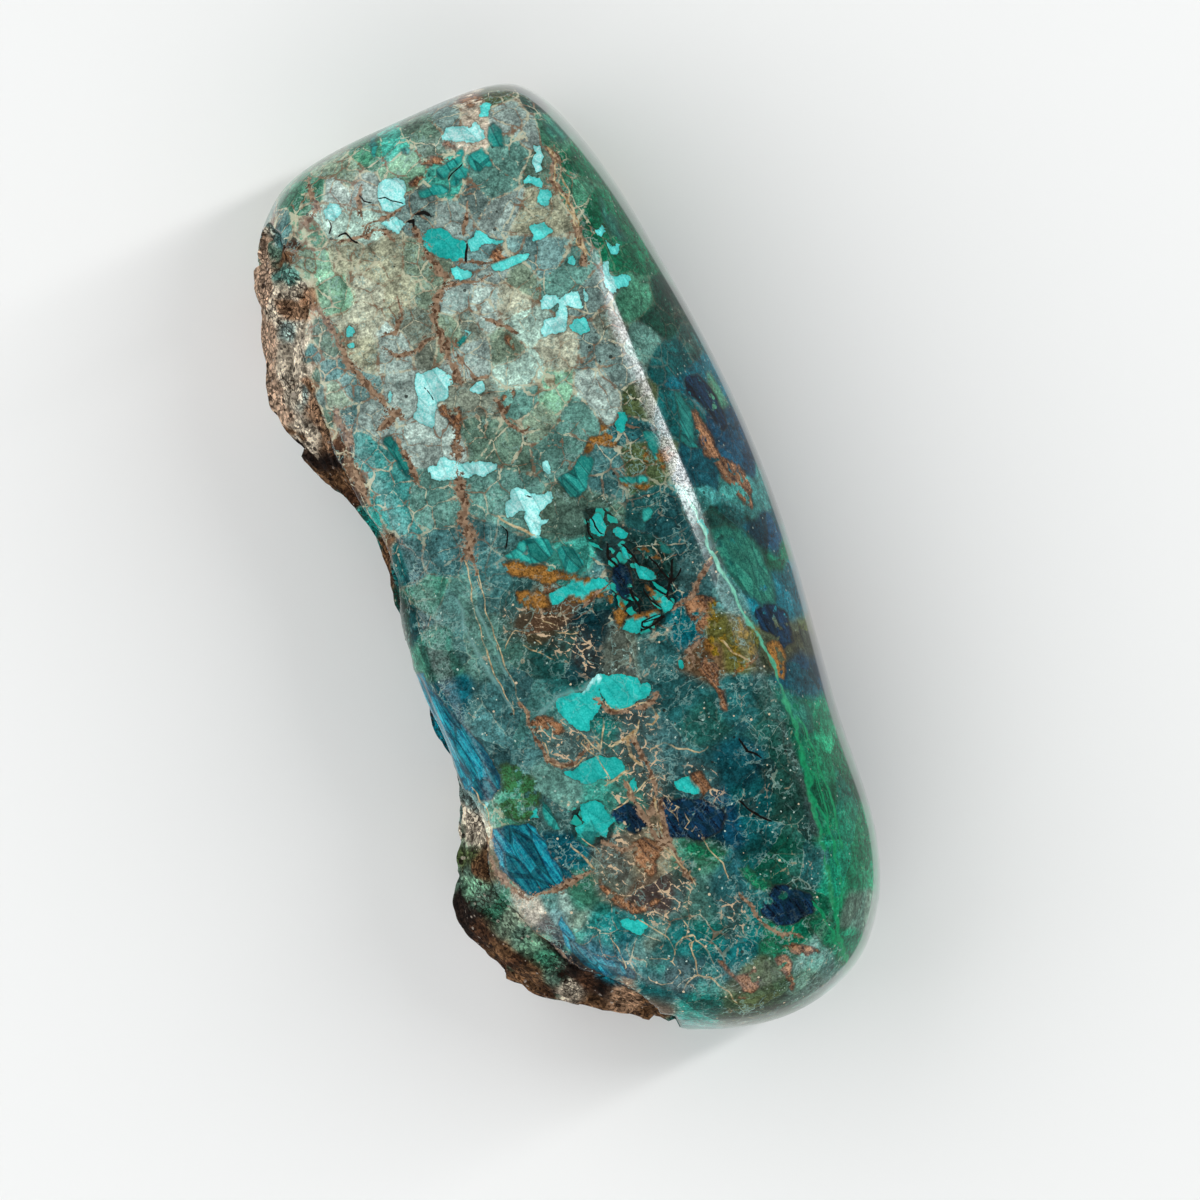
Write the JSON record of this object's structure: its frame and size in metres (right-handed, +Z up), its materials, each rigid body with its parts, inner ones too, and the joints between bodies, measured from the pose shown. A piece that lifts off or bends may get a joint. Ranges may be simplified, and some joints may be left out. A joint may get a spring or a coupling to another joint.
{
  "type": "shattuckite freeform",
  "caption": "Polished freeform of natural blue-green stone with rough rind left along one side; lies flat as a display or hand piece.",
  "frame": {"origin": "under the middle of the stone, on the surface that it lies on", "axes": "+Z up, out of the polished face; +Y along the stone to its narrow end; +X to the side with the polished shoulder"},
  "size_m": [0.0387, 0.085, 0.0227],
  "materials": {
    "polished_stone": "polished stone, with rough natural rind along one side"
  },
  "bodies": {
    "root": {"shattuckite_stone": "polished_stone"}
  },
  "joints": []
}
